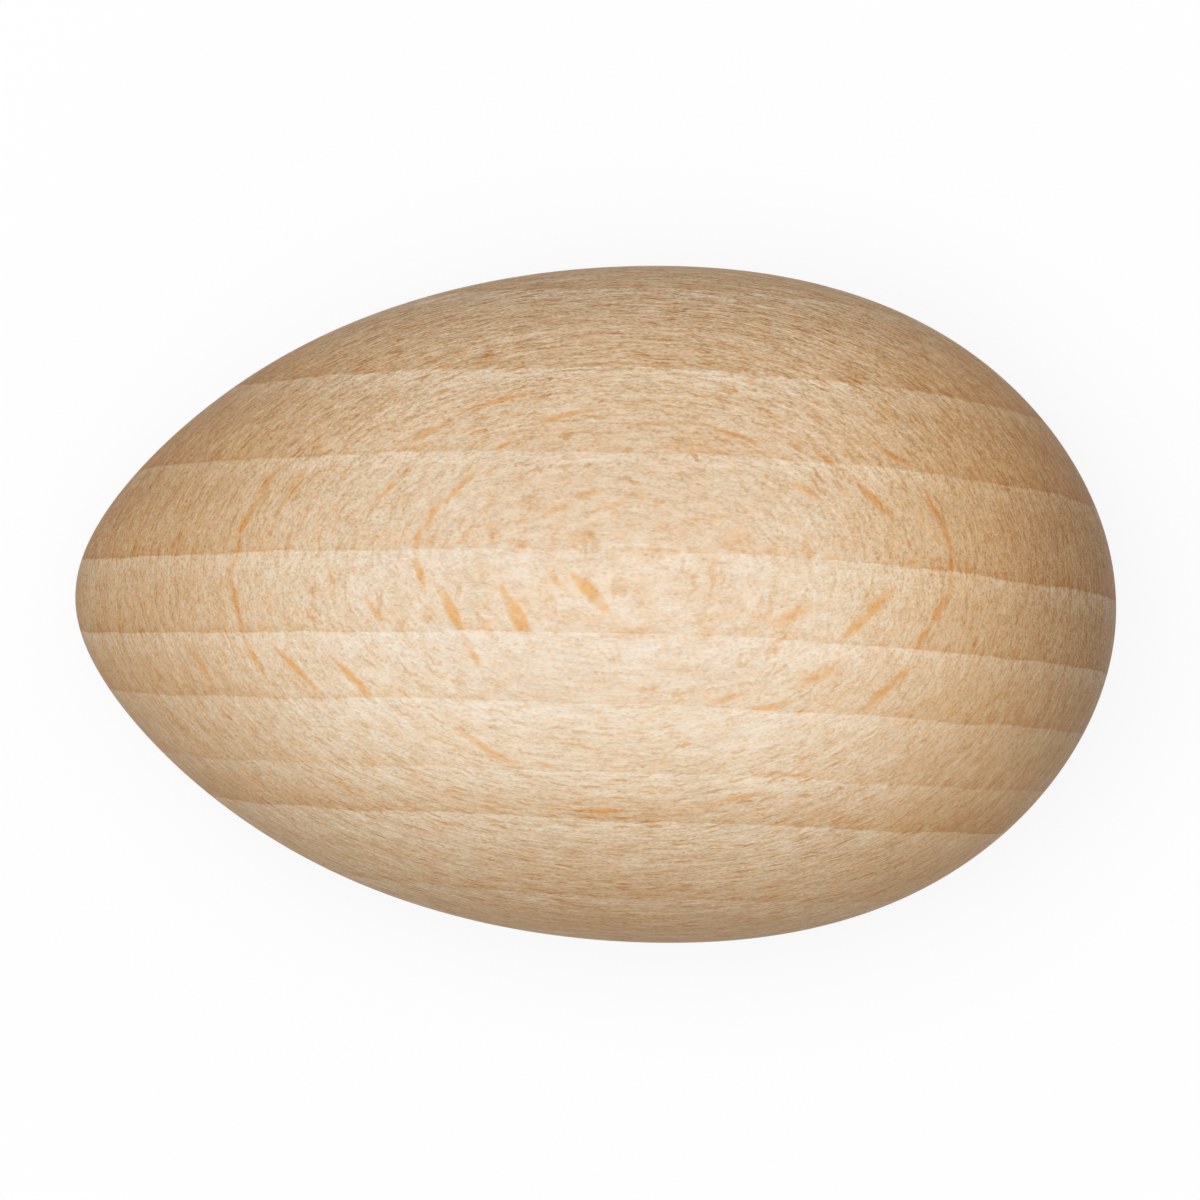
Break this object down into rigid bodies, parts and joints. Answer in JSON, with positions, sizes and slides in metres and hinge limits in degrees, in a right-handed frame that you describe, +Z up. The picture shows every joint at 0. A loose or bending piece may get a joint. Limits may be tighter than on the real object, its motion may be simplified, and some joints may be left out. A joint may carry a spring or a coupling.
{
  "type": "wooden egg",
  "caption": "Solid egg turned from pale beech, sanded smooth and left unpainted, lying on its side with the pointed end dipping slightly.",
  "frame": {"origin": "on the surface that the egg lies on, under the middle of its length and width", "axes": "+X from the pointed end to the blunt end, +Y across the egg, +Z up"},
  "size_m": [0.0615, 0.04, 0.0401],
  "materials": {
    "beech": "bare wood sanded to a soft satin"
  },
  "bodies": {
    "root": {"egg": "beech"}
  },
  "joints": []
}
